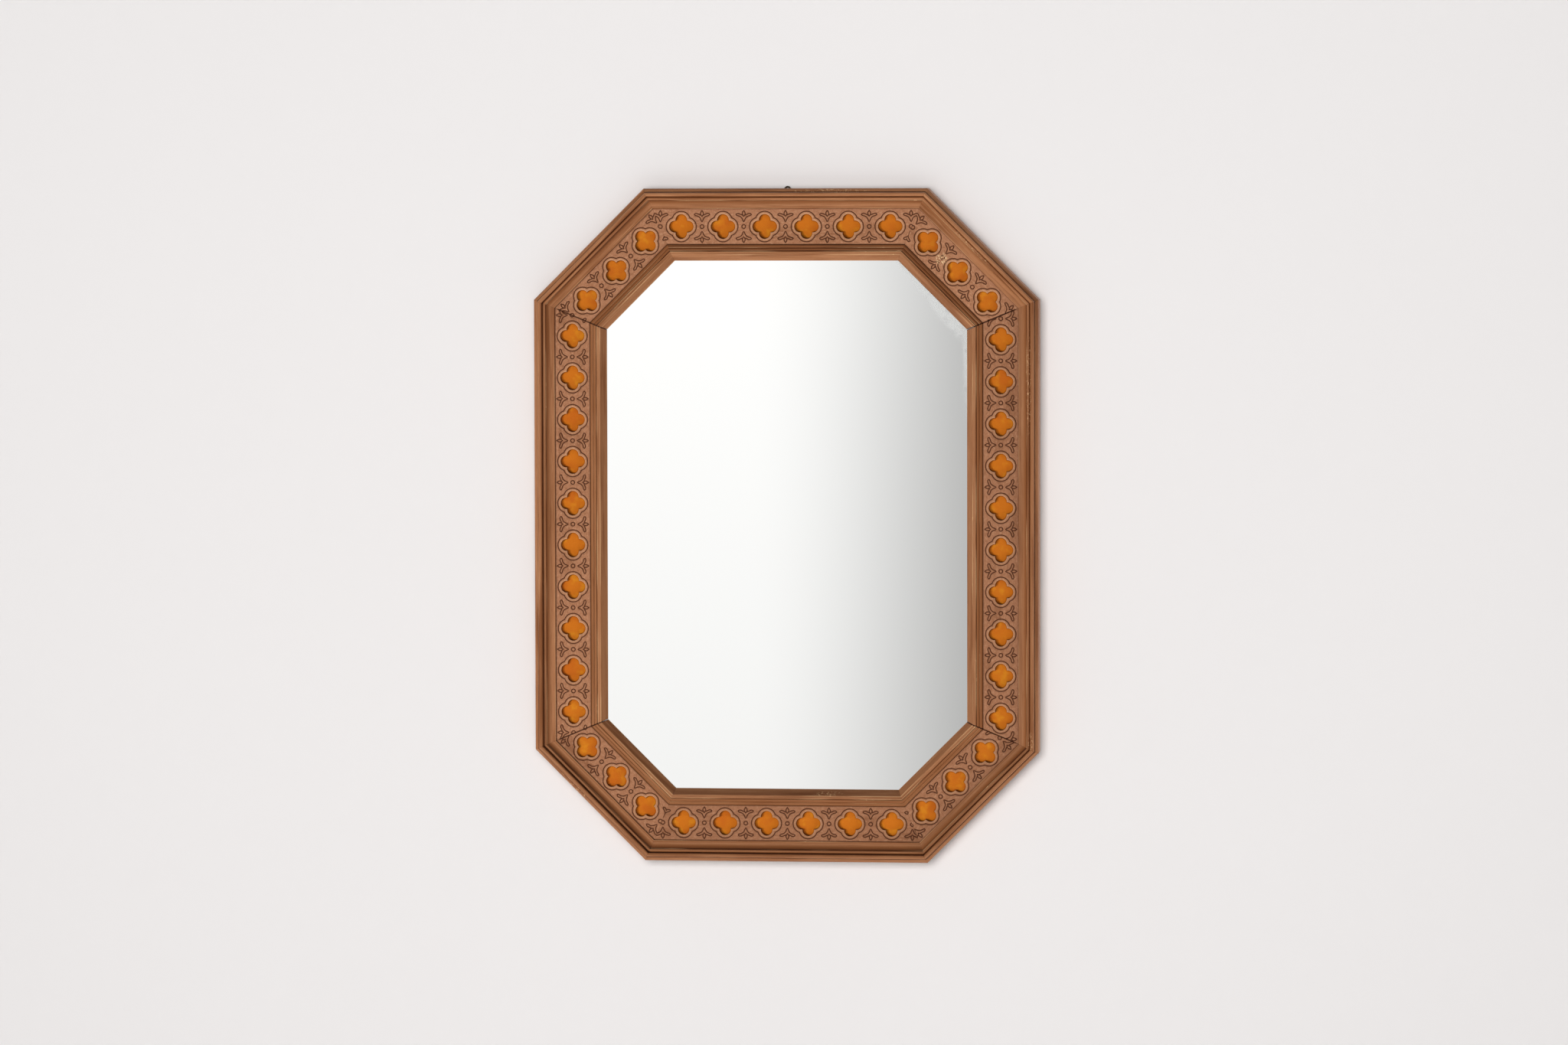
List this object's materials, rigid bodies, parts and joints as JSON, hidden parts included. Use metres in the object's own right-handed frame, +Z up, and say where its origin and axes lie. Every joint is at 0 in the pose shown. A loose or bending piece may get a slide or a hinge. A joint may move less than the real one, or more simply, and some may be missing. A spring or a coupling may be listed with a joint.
{
  "type": "octagonal wall mirror",
  "caption": "Octagonal wall mirror in a mitred, moulded wooden frame with a pierced quatrefoil frieze over orange felt and a swinging ring hanger on the back.",
  "frame": {"origin": "on the plane of the rails' backs, straight behind the inside of the ring's top, where the nail bears", "axes": "+Z up the wall, +Y from the mirror's back into the wall, +X to the right of someone who looks into the mirror"},
  "size_m": [0.618, 0.0399, 0.825],
  "materials": {
    "stained_wood": "satin stain, worn edges",
    "carved_wood": "matt stain, engraved",
    "orange_felt": "matt felt",
    "mirror_glass": "silvered glass, a little foxed",
    "backing_board": "raw hardboard",
    "bright_steel": "dull steel",
    "hanger_steel": "darkened steel"
  },
  "bodies": {
    "frame": {"bottom_rail": "stained_wood", "lower_right_rail": "stained_wood", "right_stile": "stained_wood", "upper_right_rail": "stained_wood", "top_rail": "stained_wood", "upper_left_rail": "stained_wood", "left_stile": "stained_wood", "lower_left_rail": "stained_wood", "bottom_rail_frieze": "carved_wood", "lower_right_rail_frieze": "carved_wood", "right_stile_frieze": "carved_wood", "upper_right_rail_frieze": "carved_wood", "top_rail_frieze": "carved_wood", "upper_left_rail_frieze": "carved_wood", "left_stile_frieze": "carved_wood", "lower_left_rail_frieze": "carved_wood", "bottom_rail_felt": "orange_felt", "lower_right_rail_felt": "orange_felt", "right_stile_felt": "orange_felt", "upper_right_rail_felt": "orange_felt", "top_rail_felt": "orange_felt", "upper_left_rail_felt": "orange_felt", "left_stile_felt": "orange_felt", "lower_left_rail_felt": "orange_felt", "mirror_glass": "mirror_glass", "backing_board": "backing_board", "mitre_fasteners": "bright_steel", "glazing_sprigs": "bright_steel", "hanger_strap": "hanger_steel", "hanger_screws": "hanger_steel"},
    "ring": {"hanger_ring": "hanger_steel"}
  },
  "joints": [
    {"name": "ring_swing", "type": "hinge", "parent": "frame", "child": "ring", "pos_m": [0, 0.00196, -0.01589], "axis": [-1, 0, 0], "range_deg": [0, 170]}
  ]
}
